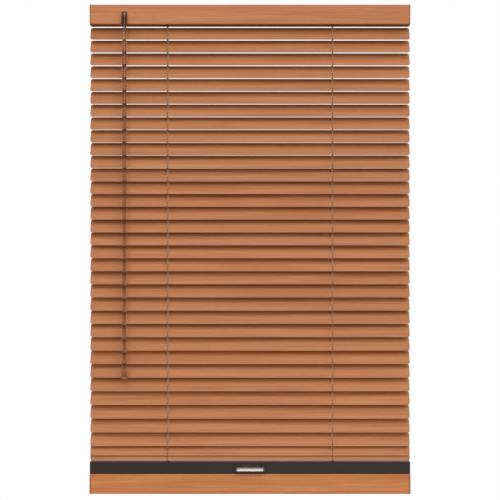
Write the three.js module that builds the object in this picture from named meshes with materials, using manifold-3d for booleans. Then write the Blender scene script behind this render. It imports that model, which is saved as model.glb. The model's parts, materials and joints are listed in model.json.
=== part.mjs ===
// A cordless 25 mm venetian blind: headrail with wand tilter, crowned slats on two string
// ladders, and a deep bottom rail with the spring motor and its release handle.
// Millimetres. +X runs to the right as seen from the room, -Y points into the room, +Z is up.
// The origin is the middle of the plane where the two ceiling brackets are fixed.
// The blind is lowered and its slats are closed with their front edges down.
import * as THREE from 'three';
import { mergeVertices } from 'three/addons/utils/BufferGeometryUtils.js';
import Module from 'manifold-3d';

const wasm = await Module();
wasm.setup();

// ---- driving dimensions ----
const GAP = 0.3; // clearance between pieces that rest on or pass each other
const THROUGH = 6; // depth of a cutter that goes right through a thin wall

const HEAD_LENGTH = 525.4; // over the end caps
const HEAD_DEPTH = 25;
const HEAD_HEIGHT = 32.2;
const HEAD_TOP = -1.5;
const HEAD_BOTTOM = HEAD_TOP - HEAD_HEIGHT;
const HEAD_WALL = 0.8;
const HEAD_LIP = 4.8; // width of each lip turned in over the open top
const HEAD_CORNER = 1.5;
const CAP_PLATE = 1.4;
const CAP_PLUG = 4;

const BRACKET_X = 172;
const BRACKET_LENGTH = 26;
const BRACKET_PLATE = 1.2;
const BRACKET_HOOK = 1; // thickness of the hooks that grip the lips from below
const BRACKET_REACH = 2.6; // how far each hook runs under its lip
const BRACKET_FRONT = 4.6; // the plate stops here, in front of the middle, out of sight from the room
const SCREW_RADIUS = 2.25;
const SCREW_X = 8;

const SLAT_COUNT = 34;
const SLAT_LENGTH = 525.2;
const SLAT_WIDTH = 25;
const SLAT_THICKNESS = 0.4;
const SLAT_CROWN = 1.3;
const SLAT_CORNER = 3.5;
const SLAT_CLOSED = THREE.MathUtils.degToRad(59.1); // front edge below the horizontal
const FIRST_SLAT_Z = -46.9;
const SLAT_PITCH = 21.125;
const PITCH_GROWTH = 0.112; // the ladder stretches a little more on each lower slat
const EVEN_SLATS = 17; // slats that hang at the even pitch
const LOOSE_SLATS = 31; // slats that hang free; the last few bunch up on the rail
const BUNCHED_GAPS = [22.6, 15.4, 8.3];

const LADDER_X = 135.7;
const ROUTE_LENGTH = 9; // cord hole in each slat, across its width
const ROUTE_WIDTH = 3;
const CORD_SLOT_LENGTH = 19.5; // openings for cord and ladder in the headrail and the rail's cover
const CORD_SLOT_WIDTH = 5;
const CORD_RADIUS = 0.6;
const STRING_RADIUS = 0.45;
const STRING_OFFSET = 0.95; // ladder string centre outside the slat edge
const FRONT_STRING_TOP = -25; // beside the drum, with room to be wound up by the full tilt
const BACK_STRING_TOP = -3.6; // the length that the full tilt lets down again
const CORD_SIDES = 8;

const SHAFT_Z = -17.5;
const ROD_SIDE = 4;
const ROD_BORE = 3.2;
const ROD_LEFT = -216;
const ROD_RIGHT = 150;
const DRUM_RADIUS = 8.2;
const DRUM_CORE = 6.4;
const DRUM_LENGTH = 11;
const DRUM_FLANGE = 1.4;

const WAND_X = -205.1;
const WAND_Y = -20.7;
const HOOK_Z = -21; // where the wand hangs on the worm's eye
const WORM_SLOPE = THREE.MathUtils.degToRad(31.4); // the worm points forward and down
const WORM_RADIUS = 2.2;
const WORM_STEM = 1.6;
const WORM_EYE = 2.2;
const STEM_END = 13; // along the worm's axis, from the hook
const THREAD_START = 12.5;
const WORM_END = 23;
const WORM_OPENING = 3.4; // radius of the hole in the headrail's front
const GEAR_TEETH = 12;
const GEAR_RADIUS = 5.2;
const GEAR_ROOT = 4.2;
const GEAR_LENGTH = 7;
const HOUSING_LENGTH = 19;
const HOUSING_WALL = 2.2;
const HOUSING_BACK = 9.5;
const HOUSING_FRONT = -11;
const HOUSING_TOP = -4;
const HOUSING_BOTTOM = -31.8;

const SLEEVE_TOP = -14.9;
const SLEEVE_BOTTOM = -35.4;
const SLEEVE_RADIUS = 5.2;
const SLEEVE_BORE = 3.9;
const SLEEVE_NOTCH = 5.4;
const NECK_RADIUS = 1.2;
const COLLAR_RADIUS = 2.9; // the short collar on the neck, just under the sleeve
const COLLAR_TOP = -36.5;
const COLLAR_BOTTOM = -46.5;
const WAND_TOP = -60.7;
const WAND_BOTTOM = -584.3;
const WAND_RADIUS = 3.7; // over the corners of the hexagon
const GRIP_BOTTOM = -614.4;
const GRIP_RADIUS = 4.9;
const GRIP_EDGE = 0.8; // how far the two ends of the grip are rounded in
const GRIP_WAIST = 0.5;
const GRIP_SHOULDER = 3; // from the top down to the waist

const RAIL_LENGTH = 525.4;
const RAIL_DEPTH = 25;
const RAIL_TOP = -750.6;
const RAIL_SEAM = -770.2;
const RAIL_BOTTOM = -803.3;
const RAIL_WALL = 1.2;
const RAIL_CORNER = 1.6;
const COVER_INSET = 0.3; // the cover's ends stand back from the rail's
const HANDLE_Z = -760.4;
const HANDLE_LENGTH = 49;
const HANDLE_HEIGHT = 10.2;
const HANDLE_REACH = 8.6; // how far the lip stands out of the rail
const HANDLE_LIP = 5.6;
const HANDLE_CORNER = 3.6;
const HANDLE_NECK = 38;
const HANDLE_NECK_HEIGHT = 3;
const HANDLE_EDGE = 1.2; // thickness of the ramp's upper edge
const HANDLE_TRAVEL = 3;
const MOTOR_LENGTH = 130;
const MOTOR_DEPTH = 19;
const MOTOR_HEIGHT = 23;
const MOTOR_CORNER = 4;

// ---- colours ----
const finish = (color, roughness, metalness) =>
  new THREE.MeshStandardMaterial({ color, roughness, metalness });
const WOODGRAIN = finish('#c17e52', 0.45, 0);
const SLAT_FINISH = finish('#bf7c55', 0.4, 0);
const STEEL = finish('#b9bcc0', 0.35, 1);
const WHITE_PLASTIC = finish('#e6e3dc', 0.5, 0);
const BROWN_PLASTIC = finish('#b5764c', 0.5, 0);
const DARK_PLASTIC = finish('#3f3835', 0.5, 0);
const ACRYLIC = finish('#9a8378', 0.1, 0);
const CORD = finish('#a9805f', 0.8, 0);
const SILVER = finish('#dcdcdc', 0.3, 0.8);

// ---- helpers ----
function toSolid(geometry) {
  const bare = geometry.clone();
  bare.deleteAttribute('normal');
  bare.deleteAttribute('uv');
  const merged = mergeVertices(bare, 1e-4);
  return new wasm.Manifold(new wasm.Mesh({
    numProp: 3,
    vertProperties: new Float32Array(merged.attributes.position.array),
    triVerts: new Uint32Array(merged.index.array),
  }));
}

function toGeometry(solid) {
  const mesh = solid.getMesh();
  const geometry = new THREE.BufferGeometry();
  geometry.setAttribute('position', new THREE.BufferAttribute(mesh.vertProperties, 3));
  geometry.setIndex(new THREE.BufferAttribute(mesh.triVerts, 1));
  return geometry;
}

function cut(body, ...tools) {
  return toGeometry(tools.reduce((left, tool) => left.subtract(toSolid(tool)), toSolid(body)));
}

function join(...pieces) {
  return toGeometry(pieces.map(toSolid).reduce((all, piece) => all.add(piece)));
}

function common(a, b) {
  return toGeometry(toSolid(a).intersect(toSolid(b)));
}

// a flat outline pushed straight through, from depth 0
function extrude(shape, length, curveSegments = 3) {
  return new THREE.ExtrudeGeometry(shape, { depth: length, bevelEnabled: false, curveSegments });
}

// an outline drawn in (y, z), pushed along X and centred on x
function alongX(shape, length, x = 0, curveSegments = 3) {
  const turn = new THREE.Matrix4().makeBasis(
    new THREE.Vector3(0, 1, 0), new THREE.Vector3(0, 0, 1), new THREE.Vector3(1, 0, 0));
  return extrude(shape, length, curveSegments).applyMatrix4(turn).translate(x - length / 2, 0, 0);
}

function box(width, depth, height, x, y, z) {
  return new THREE.BoxGeometry(width, depth, height).translate(x, y, z);
}

// a round bar standing along Z from z0 up to z1
function bar(radius, z0, z1, x, y, sides) {
  return new THREE.CylinderGeometry(radius, radius, z1 - z0, sides)
    .rotateX(Math.PI / 2)
    .translate(x, y, (z0 + z1) / 2);
}

// a slot with half-round ends, long in v, centred on (u, v)
function slotShape(width, length, u = 0, v = 0, Kind = THREE.Shape) {
  const r = width / 2;
  const h = length / 2 - r;
  const shape = new Kind();
  shape.moveTo(u + r, v - h);
  shape.lineTo(u + r, v + h);
  shape.absarc(u, v + h, r, 0, Math.PI, false);
  shape.lineTo(u - r, v - h);
  shape.absarc(u, v - h, r, Math.PI, 2 * Math.PI, false);
  return shape;
}

function roundedRectangle(width, height, r) {
  const w = width / 2;
  const h = height / 2;
  const shape = new THREE.Shape();
  shape.moveTo(w, -h + r);
  shape.lineTo(w, h - r);
  shape.absarc(w - r, h - r, r, 0, Math.PI / 2, false);
  shape.lineTo(-w + r, h);
  shape.absarc(-w + r, h - r, r, Math.PI / 2, Math.PI, false);
  shape.lineTo(-w, -h + r);
  shape.absarc(-w + r, -h + r, r, Math.PI, 1.5 * Math.PI, false);
  shape.lineTo(w - r, -h);
  shape.absarc(w - r, -h + r, r, 1.5 * Math.PI, 2 * Math.PI, false);
  return shape;
}

// a rail's outline in (y, z): square above, rounded at the two bottom edges
function railShape(depth, top, bottom, r) {
  const d = depth / 2;
  const shape = new THREE.Shape();
  shape.moveTo(d, bottom + r);
  shape.lineTo(d, top);
  shape.lineTo(-d, top);
  shape.lineTo(-d, bottom + r);
  shape.absarc(-d + r, bottom + r, r, Math.PI, 1.5 * Math.PI, false);
  shape.lineTo(d - r, bottom);
  shape.absarc(d - r, bottom + r, r, 1.5 * Math.PI, 2 * Math.PI, false);
  return shape;
}

// ---- where the slats hang ----
function slatHeights() {
  const heights = [FIRST_SLAT_Z];
  for (let i = 1; i < SLAT_COUNT; i += 1) {
    const stretched = SLAT_PITCH + PITCH_GROWTH * Math.max(0, i - EVEN_SLATS + 1);
    const pitch = i < LOOSE_SLATS ? stretched : BUNCHED_GAPS[i - LOOSE_SLATS];
    heights.push(heights[i - 1] - pitch);
  }
  return heights;
}

const slatZ = slatHeights();
const edgeY = Math.cos(SLAT_CLOSED) * SLAT_WIDTH / 2; // slat edge in front of and behind its middle
const edgeZ = Math.sin(SLAT_CLOSED) * SLAT_WIDTH / 2;
const stringY = edgeY + STRING_OFFSET;

// ---- headrail ----
function headrail() {
  const length = HEAD_LENGTH - 2 * (CAP_PLATE + GAP);
  const outer = alongX(railShape(HEAD_DEPTH, HEAD_TOP, HEAD_BOTTOM, HEAD_CORNER), length);
  const innerDepth = HEAD_DEPTH - 2 * HEAD_WALL;
  const innerHeight = HEAD_HEIGHT - 2 * HEAD_WALL;
  const hollow = box(length + 2, innerDepth, innerHeight, 0, 0, HEAD_TOP - HEAD_HEIGHT / 2);
  const mouth = box(length + 2, HEAD_DEPTH - 2 * HEAD_LIP, THROUGH, 0, 0, HEAD_TOP);
  const ladderSlots = [-LADDER_X, LADDER_X].map((x) =>
    extrude(slotShape(CORD_SLOT_WIDTH, CORD_SLOT_LENGTH), THROUGH)
      .translate(x, 0, HEAD_BOTTOM - THROUGH / 2));
  return cut(outer, hollow, mouth, ...ladderSlots, wormBore(WORM_OPENING, STEM_END));
}

function headCap(side) {
  const plate = alongX(railShape(HEAD_DEPTH, HEAD_TOP, HEAD_BOTTOM, HEAD_CORNER), CAP_PLATE,
    side * (HEAD_LENGTH - CAP_PLATE) / 2);
  const inset = 2 * (HEAD_WALL + GAP);
  const plug = box(CAP_PLUG + 1, HEAD_DEPTH - inset, HEAD_HEIGHT - inset,
    side * (HEAD_LENGTH / 2 - CAP_PLATE - CAP_PLUG / 2 + 0.5), 0, HEAD_TOP - HEAD_HEIGHT / 2);
  const relief = box(CAP_PLUG + 3, HEAD_DEPTH - inset - 4, HEAD_HEIGHT - inset - 4,
    side * (HEAD_LENGTH / 2 - CAP_PLATE - CAP_PLUG / 2 - 1.5), 0, HEAD_TOP - HEAD_HEIGHT / 2);
  return cut(join(plate, plug), relief);
}

// a ceiling bracket: a plate on the back lip, with a hook under each of the two lips
function bracket(x) {
  const mouth = HEAD_DEPTH / 2 - HEAD_LIP;
  const inner = mouth - GAP - BRACKET_HOOK;
  const under = HEAD_TOP - HEAD_WALL - GAP;
  const reach = mouth + BRACKET_REACH;
  const section = new THREE.Shape();
  section.moveTo(-BRACKET_FRONT, 0);
  section.lineTo(-BRACKET_FRONT, under);
  section.lineTo(-reach, under);
  section.lineTo(-reach, under - BRACKET_HOOK);
  section.lineTo(-BRACKET_FRONT + BRACKET_HOOK, under - BRACKET_HOOK);
  section.lineTo(-BRACKET_FRONT + BRACKET_HOOK, -BRACKET_PLATE);
  section.lineTo(inner, -BRACKET_PLATE);
  section.lineTo(inner, under - BRACKET_HOOK);
  section.lineTo(reach, under - BRACKET_HOOK);
  section.lineTo(reach, under);
  section.lineTo(mouth - GAP, under);
  section.lineTo(mouth - GAP, -BRACKET_PLATE);
  section.lineTo(HEAD_DEPTH / 2, -BRACKET_PLATE);
  section.lineTo(HEAD_DEPTH / 2, 0);
  section.closePath();
  const screws = [-SCREW_X, SCREW_X].map((dx) =>
    bar(SCREW_RADIUS, -THROUGH / 2, THROUGH / 2, x + dx, 0, 12));
  return cut(alongX(section, BRACKET_LENGTH, x), ...screws);
}

// ---- tilter ----
// turns a piece made along +Z, from the hook point, onto the worm's axis
function ontoWorm(geometry) {
  return geometry.rotateX(WORM_SLOPE - Math.PI / 2).translate(WAND_X, WAND_Y, HOOK_Z);
}

// a cutter along the worm's axis, from just outside the headrail
function wormBore(radius, end) {
  return ontoWorm(bar(radius, WORM_EYE, end, 0, 0, 12));
}

function tilterWorm() {
  const stem = ontoWorm(bar(WORM_STEM, 0, STEM_END, 0, 0, 12));
  const thread = ontoWorm(bar(WORM_RADIUS, THREAD_START, WORM_END, 0, 0, 12));
  const eye = new THREE.SphereGeometry(WORM_EYE, 12, 8).translate(WAND_X, WAND_Y, HOOK_Z);
  return join(stem, thread, eye);
}

function tilterGear() {
  const shape = new THREE.Shape();
  for (let i = 0; i < GEAR_TEETH; i += 1) {
    for (const [part, r] of [[0, GEAR_ROOT], [0.3, GEAR_ROOT], [0.45, GEAR_RADIUS],
      [0.75, GEAR_RADIUS], [0.9, GEAR_ROOT]]) {
      const angle = 2 * Math.PI * (i + part) / GEAR_TEETH;
      const x = r * Math.cos(angle);
      const y = r * Math.sin(angle);
      if (i === 0 && part === 0) shape.moveTo(x, y);
      else shape.lineTo(x, y);
    }
  }
  shape.closePath();
  shape.holes.push(new THREE.Path().absarc(0, 0, ROD_BORE, 0, 2 * Math.PI, true));
  return alongX(shape, GEAR_LENGTH, WAND_X).translate(0, 0, SHAFT_Z);
}

// an open-topped frame round the gear, with a bore for the rod and one for the worm
function tilterHousing() {
  const depth = HOUSING_BACK - HOUSING_FRONT;
  const height = HOUSING_TOP - HOUSING_BOTTOM;
  const middleY = (HOUSING_BACK + HOUSING_FRONT) / 2;
  const middleZ = (HOUSING_TOP + HOUSING_BOTTOM) / 2;
  const outer = box(HOUSING_LENGTH, depth, height, WAND_X, middleY, middleZ);
  const inner = box(HOUSING_LENGTH - 2 * HOUSING_WALL, depth - 2 * HOUSING_WALL, height,
    WAND_X, middleY, middleZ + HOUSING_WALL);
  const rodBore = bar(ROD_BORE, -20, 20, 0, 0, 12).rotateY(Math.PI / 2)
    .translate(WAND_X, 0, SHAFT_Z);
  return cut(outer, inner, rodBore, wormBore(WORM_RADIUS + GAP, WORM_END + 2));
}

function tiltRod() {
  const length = ROD_RIGHT - ROD_LEFT;
  return box(length, ROD_SIDE, ROD_SIDE, (ROD_LEFT + ROD_RIGHT) / 2, 0, SHAFT_Z);
}

function ladderDrum(x) {
  const half = DRUM_LENGTH / 2;
  const profile = [
    [ROD_BORE, -half], [DRUM_RADIUS, -half], [DRUM_RADIUS, -half + DRUM_FLANGE],
    [DRUM_CORE, -half + DRUM_FLANGE], [DRUM_CORE, half - DRUM_FLANGE],
    [DRUM_RADIUS, half - DRUM_FLANGE], [DRUM_RADIUS, half], [ROD_BORE, half], [ROD_BORE, -half],
  ].map(([r, y]) => new THREE.Vector2(r, y));
  return new THREE.LatheGeometry(profile, 16).rotateZ(Math.PI / 2).translate(x, 0, SHAFT_Z);
}

// ---- wand ----
// a clear sleeve over the hook, notched behind so that it clears the worm's stem
function wandSleeve() {
  const profile = [
    [SLEEVE_BORE, SLEEVE_BOTTOM], [SLEEVE_RADIUS, SLEEVE_BOTTOM],
    [SLEEVE_RADIUS, SLEEVE_TOP], [SLEEVE_BORE, SLEEVE_TOP], [SLEEVE_BORE, SLEEVE_BOTTOM],
  ].map(([r, y]) => new THREE.Vector2(r, y));
  const tube = new THREE.LatheGeometry(profile, 20).rotateX(Math.PI / 2)
    .translate(WAND_X, WAND_Y, 0);
  const notch = box(SLEEVE_NOTCH, 8, 12, WAND_X, WAND_Y + 5, SLEEVE_TOP);
  return cut(tube, notch);
}

function wand() {
  const neckTop = HOOK_Z - WORM_EYE - GAP;
  return join(
    bar(NECK_RADIUS, WAND_TOP - 1, neckTop, WAND_X, WAND_Y, 8),
    bar(COLLAR_RADIUS, COLLAR_BOTTOM, COLLAR_TOP, WAND_X, WAND_Y, 16),
    bar(WAND_RADIUS, WAND_BOTTOM, WAND_TOP, WAND_X, WAND_Y, 6),
  );
}

function wandGrip() {
  const top = WAND_BOTTOM - GAP;
  const profile = [
    [0, GRIP_BOTTOM], [GRIP_RADIUS - GRIP_EDGE, GRIP_BOTTOM],
    [GRIP_RADIUS, GRIP_BOTTOM + GRIP_EDGE], [GRIP_RADIUS - GRIP_WAIST, top - GRIP_SHOULDER],
    [GRIP_RADIUS, top - GRIP_EDGE], [GRIP_RADIUS - GRIP_EDGE, top], [0, top],
  ].map(([r, y]) => new THREE.Vector2(r, y));
  return new THREE.LatheGeometry(profile, 16).rotateX(Math.PI / 2).translate(WAND_X, WAND_Y, 0);
}

// ---- slats ----
// a flat slat with its crown up, its chord's middle at the origin
function slatGeometry() {
  const half = SLAT_WIDTH / 2;
  const t = SLAT_THICKNESS / 2;
  const radius = (half * half + SLAT_CROWN * SLAT_CROWN) / (2 * SLAT_CROWN);
  const sweep = Math.asin(half / radius);
  const centre = SLAT_CROWN - radius;
  const section = new THREE.Shape();
  section.absarc(0, centre, radius + t, Math.PI / 2 - sweep, Math.PI / 2 + sweep, false);
  section.absarc(0, centre, radius - t, Math.PI / 2 + sweep, Math.PI / 2 - sweep, true);
  section.closePath();
  const plan = roundedRectangle(SLAT_LENGTH, SLAT_WIDTH, SLAT_CORNER);
  for (const x of [-LADDER_X, LADDER_X]) {
    plan.holes.push(slotShape(ROUTE_WIDTH, ROUTE_LENGTH, x, 0, THREE.Path));
  }
  const crowned = alongX(section, SLAT_LENGTH + 2, 0, 3);
  return common(crowned, extrude(plan, THROUGH, 1).translate(0, 0, -THROUGH / 2));
}

// ---- cords ----
function liftCord(x) {
  return bar(CORD_RADIUS, RAIL_TOP - 5, HEAD_BOTTOM + 6, x, 0, CORD_SIDES);
}

function ladderFront(x) {
  const bottom = slatZ[SLAT_COUNT - 1] - edgeZ + GAP;
  return bar(STRING_RADIUS, bottom, FRONT_STRING_TOP, x, -stringY, CORD_SIDES);
}

function ladderBack(x) {
  const bottom = slatZ[SLAT_COUNT - 1] + edgeZ;
  return bar(STRING_RADIUS, bottom, BACK_STRING_TOP, x, stringY, CORD_SIDES);
}

// the short string that carries a slat between the two ladder strings, close under the slat
function ladderRung(x, z) {
  const length = SLAT_WIDTH - 1;
  return box(0.8, length, 0.5, 0, 0, -SLAT_THICKNESS - GAP - 0.4)
    .rotateX(SLAT_CLOSED).translate(x, 0, z);
}

// ---- bottom rail ----
function bottomRail() {
  const top = RAIL_SEAM - GAP / 2;
  const outer = alongX(railShape(RAIL_DEPTH, top, RAIL_BOTTOM, RAIL_CORNER), RAIL_LENGTH);
  const hollow = box(RAIL_LENGTH - 2 * RAIL_WALL, RAIL_DEPTH - 2 * RAIL_WALL,
    top - RAIL_BOTTOM, 0, 0, (top + RAIL_BOTTOM) / 2 + RAIL_WALL);
  return cut(outer, hollow);
}

function bottomRailCover() {
  const bottom = RAIL_SEAM + GAP / 2;
  const height = RAIL_TOP - bottom;
  const middle = (RAIL_TOP + bottom) / 2;
  const length = RAIL_LENGTH - 2 * COVER_INSET;
  const outer = box(length, RAIL_DEPTH, height, 0, 0, middle);
  const hollow = box(length - 2 * RAIL_WALL, RAIL_DEPTH - 2 * RAIL_WALL, height,
    0, 0, middle - RAIL_WALL);
  const cordSlots = [-LADDER_X, LADDER_X].map((x) =>
    extrude(slotShape(CORD_SLOT_WIDTH, CORD_SLOT_LENGTH), THROUGH)
      .translate(x, 0, RAIL_TOP - THROUGH / 2));
  const window = box(HANDLE_NECK + 2, THROUGH, HANDLE_NECK_HEIGHT + HANDLE_TRAVEL + 2 * GAP,
    0, -RAIL_DEPTH / 2, HANDLE_Z + HANDLE_TRAVEL / 2);
  return cut(outer, hollow, ...cordSlots, window);
}

// the finger lip, hollowed above and rounded in front, on a neck that goes into the rail
function releaseHandle() {
  const face = -RAIL_DEPTH / 2 - GAP;
  const front = face - HANDLE_REACH;
  const top = HANDLE_Z + HANDLE_HEIGHT / 2;
  const bottom = HANDLE_Z - HANDLE_HEIGHT / 2;
  const nose = HANDLE_LIP / 2;
  const profile = new THREE.Shape();
  profile.moveTo(face, bottom);
  profile.lineTo(face, top);
  profile.lineTo(face - HANDLE_EDGE, top);
  profile.quadraticCurveTo(face - HANDLE_EDGE, bottom + HANDLE_LIP,
    front + nose + HANDLE_EDGE, bottom + HANDLE_LIP);
  profile.absarc(front + nose, bottom + nose, nose, Math.PI / 2, 1.5 * Math.PI, false);
  profile.closePath();
  const lip = alongX(profile, HANDLE_LENGTH + 2);
  const outline = roundedRectangle(HANDLE_LENGTH, HANDLE_HEIGHT + 2 * HANDLE_CORNER, HANDLE_CORNER);
  const turn = new THREE.Matrix4().makeBasis(
    new THREE.Vector3(1, 0, 0), new THREE.Vector3(0, 0, 1), new THREE.Vector3(0, -1, 0));
  const frontView = extrude(outline, 20).applyMatrix4(turn)
    .translate(0, face + 5, bottom + HANDLE_HEIGHT / 2 + HANDLE_CORNER);
  const neck = box(HANDLE_NECK, 7, HANDLE_NECK_HEIGHT, 0, face + 3, HANDLE_Z);
  return join(common(lip, frontView), neck);
}

function springMotor() {
  return alongX(roundedRectangle(MOTOR_DEPTH, MOTOR_HEIGHT, MOTOR_CORNER), MOTOR_LENGTH)
    .translate(0, 0, RAIL_BOTTOM + RAIL_WALL + GAP + MOTOR_HEIGHT / 2);
}

// ---- assembly ----
const group = new THREE.Group();

function add(name, geometry, material, parent = group) {
  const mesh = new THREE.Mesh(geometry, material);
  mesh.name = name;
  parent.add(mesh);
  return mesh;
}

add('headrail', headrail(), WOODGRAIN);
add('headrail_cap_left', headCap(-1), BROWN_PLASTIC);
add('headrail_cap_right', headCap(1), BROWN_PLASTIC);
add('bracket_left', bracket(-BRACKET_X), STEEL);
add('bracket_right', bracket(BRACKET_X), STEEL);
add('tilter_housing', tilterHousing(), WHITE_PLASTIC);
add('tilter_gear', tilterGear(), WHITE_PLASTIC);
add('tilter_worm', tilterWorm(), WHITE_PLASTIC);
add('tilt_rod', tiltRod(), STEEL);
add('wand_sleeve', wandSleeve(), ACRYLIC);
add('wand', wand(), ACRYLIC);
add('wand_grip', wandGrip(), ACRYLIC);

for (const [side, x] of [['left', -LADDER_X], ['right', LADDER_X]]) {
  add(`ladder_drum_${side}`, ladderDrum(x), WHITE_PLASTIC);
  add(`lift_cord_${side}`, liftCord(x), CORD);
  add(`ladder_front_${side}`, ladderFront(x), CORD);
  add(`ladder_back_${side}`, ladderBack(x), CORD);
}

const slat = slatGeometry();
slatZ.forEach((z, i) => {
  const hanger = new THREE.Group();
  hanger.position.set(0, 0, z);
  hanger.rotation.x = SLAT_CLOSED;
  group.add(hanger);
  add(`slat_${String(i + 1).padStart(2, '0')}`, slat, SLAT_FINISH, hanger);
});

add('ladder_rung_32', ladderRung(-LADDER_X - 2.6, slatZ[31]), CORD);
add('ladder_rung_33', ladderRung(LADDER_X + 2.6, slatZ[32]), CORD);

add('bottom_rail', bottomRail(), WOODGRAIN);
add('bottom_rail_cover', bottomRailCover(), DARK_PLASTIC);
add('release_handle', releaseHandle(), SILVER);
add('spring_motor', springMotor(), WHITE_PLASTIC);

export default group;
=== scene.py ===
"""A cordless venetian blind: wood-grain slats on string ladders, a tilt wand and a deep bottom rail."""

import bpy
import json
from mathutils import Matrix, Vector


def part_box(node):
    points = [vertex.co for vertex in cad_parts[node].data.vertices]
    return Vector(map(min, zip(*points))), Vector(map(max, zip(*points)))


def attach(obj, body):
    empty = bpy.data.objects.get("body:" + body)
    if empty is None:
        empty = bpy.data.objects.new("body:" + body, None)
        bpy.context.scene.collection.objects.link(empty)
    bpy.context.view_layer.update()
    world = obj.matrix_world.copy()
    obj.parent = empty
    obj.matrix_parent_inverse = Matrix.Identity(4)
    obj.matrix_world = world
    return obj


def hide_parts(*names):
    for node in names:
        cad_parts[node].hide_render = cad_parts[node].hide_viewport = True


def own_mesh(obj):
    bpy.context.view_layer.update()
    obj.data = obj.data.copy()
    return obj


bl_info = {
    "name": "Wood-grain venetian blind",
    "version": (1, 0, 0),
    "blender": (4, 5, 0),
    "location": "View3D > Sidebar > Blind",
    "description": "Slats, ladders, cords, wand, rails and finishes of a cordless venetian blind",
    "category": "Object",
}

import json
import math

import bmesh
import bpy
from bpy.props import FloatProperty, FloatVectorProperty, IntProperty, PointerProperty
from mathutils import Matrix, Vector

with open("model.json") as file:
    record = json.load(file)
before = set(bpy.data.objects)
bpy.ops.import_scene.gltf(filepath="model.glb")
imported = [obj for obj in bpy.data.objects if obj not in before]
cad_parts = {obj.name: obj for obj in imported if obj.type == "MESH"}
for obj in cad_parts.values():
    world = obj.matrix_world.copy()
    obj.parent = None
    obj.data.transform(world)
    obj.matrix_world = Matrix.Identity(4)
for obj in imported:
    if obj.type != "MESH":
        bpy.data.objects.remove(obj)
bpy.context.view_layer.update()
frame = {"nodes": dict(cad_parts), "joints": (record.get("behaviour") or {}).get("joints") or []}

MM = 0.001
SIDES = {"left": -1, "right": 1}
X_AXIS = Vector((1, 0, 0))
Z_AXIS = Vector((0, 0, 1))
JOINTS = {joint["name"]: joint for joint in frame["joints"]}
SLATS = sorted(name for name in frame["nodes"] if name.startswith("slat_"))


def pivot_of(slat):
    """The middle of a slat's chord, about which it tilts."""
    joint = "tilt" if slat == SLATS[0] else f"{slat}_tilt"
    return Vector(JOINTS[joint]["pos_m"])


def middle(node):
    """The centre of a CAD node's box."""
    low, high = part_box(node)
    return (low + high) / 2


FRONT_EDGE = Vector(JOINTS["ladder_front_carry"]["pos_m"]) - pivot_of(SLATS[0])
BACK_EDGE = -FRONT_EDGE
CLOSED = math.atan2(-FRONT_EDGE.z, -FRONT_EDGE.y)  # the slats' tilt at rest
SLAT_WIDTH = 2 * FRONT_EDGE.length
SLAT_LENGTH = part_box(SLATS[0])[1].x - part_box(SLATS[0])[0].x
LAST_FREE = SLATS[30]  # the lowest slat that stays put when the rail is lifted
LADDER_X = middle("lift_cord_right").x
STRING_Y = middle("ladder_back_right").y
RAIL_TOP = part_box("bottom_rail_cover")[1].z
HOOK = Vector(JOINTS["worm_spin"]["pos_m"])
WORM_IN = -Vector(JOINTS["worm_spin"]["axis"]).normalized()
SHAFT_Z = JOINTS["shaft_turn"]["pos_m"][2]
QUARTER = math.radians(90)
FACING_FRONT = Matrix.Rotation(QUARTER, 4, "X")  # stands a flat plate up, facing along Y
FACING_SIDE = Matrix.Rotation(QUARTER, 4, "Z") @ FACING_FRONT  # stands it up, facing along X
CLEAR_INDEX = 1.32  # below acrylic's 1.49, so that the thin clear parts stay light before the slats


def at_rest(slat):
    """Where a slat lies at rest: on its pivot, at the closed angle."""
    return Matrix.Translation(pivot_of(slat)) @ Matrix.Rotation(CLOSED, 4, "X")


def shade(tone, factor):
    """A colour made darker by a factor."""
    return (*[factor * part for part in tone[:3]], 1)


def srgb(code, alpha=1.0):
    """A #rrggbb colour as the linear numbers that shaders take."""
    parts = [int(code[i:i + 2], 16) / 255 for i in (1, 3, 5)]
    linear = [c / 12.92 if c <= 0.04045 else ((c + 0.055) / 1.055) ** 2.4 for c in parts]
    return (*linear, alpha)


# ---- what a user would change ----
def length(name, description, millimetres):
    """A size setting, given in millimetres."""
    return FloatProperty(
        name=name, description=description, default=millimetres * MM,
        min=0.0, precision=5, subtype="DISTANCE", unit="LENGTH",
    )


def colour(name, description, code):
    """A colour setting, given as #rrggbb."""
    return FloatVectorProperty(
        name=name, description=description, default=srgb(code),
        min=0.0, max=1.0, size=4, subtype="COLOR",
    )


class BlindSizes(bpy.types.PropertyGroup):
    """Sizes of the pieces that are finer than the frame"""

    slat_thickness: length("Slat thickness", "Thickness of the coated slat strip", 0.36)
    slat_crown: length("Slat crown", "Rise of the slat's middle above its edges", 1.3)
    slat_corner: length("Slat corner", "Radius of the slat's four corners", 3.5)
    slat_rows: IntProperty(
        name="Slat rows", description="Strips across the slat that carry its crown",
        default=14, min=4, max=40,
    )
    route_length: length("Route hole length", "Cord hole in the slat, across its width", 9.0)
    route_width: length("Route hole width", "Cord hole in the slat, along its length", 2.5)
    string_radius: length("Ladder string radius", "Half the thickness of a ladder string", 0.35)
    rung_radius: length("Rung thread radius", "Half the thickness of a rung's thread", 0.28)
    rung_spread: length("Rung spread", "Distance of each rung thread from the ladder's line", 2.3)
    knot_radius: length("Knot radius", "Half the width of the knot at each slat edge", 0.55)
    cord_radius: length("Lift cord radius", "Half the thickness of a lift cord strand", 0.65)
    cord_spread: length("Lift cord spread", "Half the distance between two strands", 0.66)
    thread_pitch: length("Worm pitch", "Advance of the worm's thread in one turn", 2.72)
    neck_length: length("Neck length", "From the wand's top down to its hexagonal rod", 37.2)
    edge_round: length("Edge rounding", "Radius on the edges of rolled and moulded pieces", 0.25)


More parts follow.
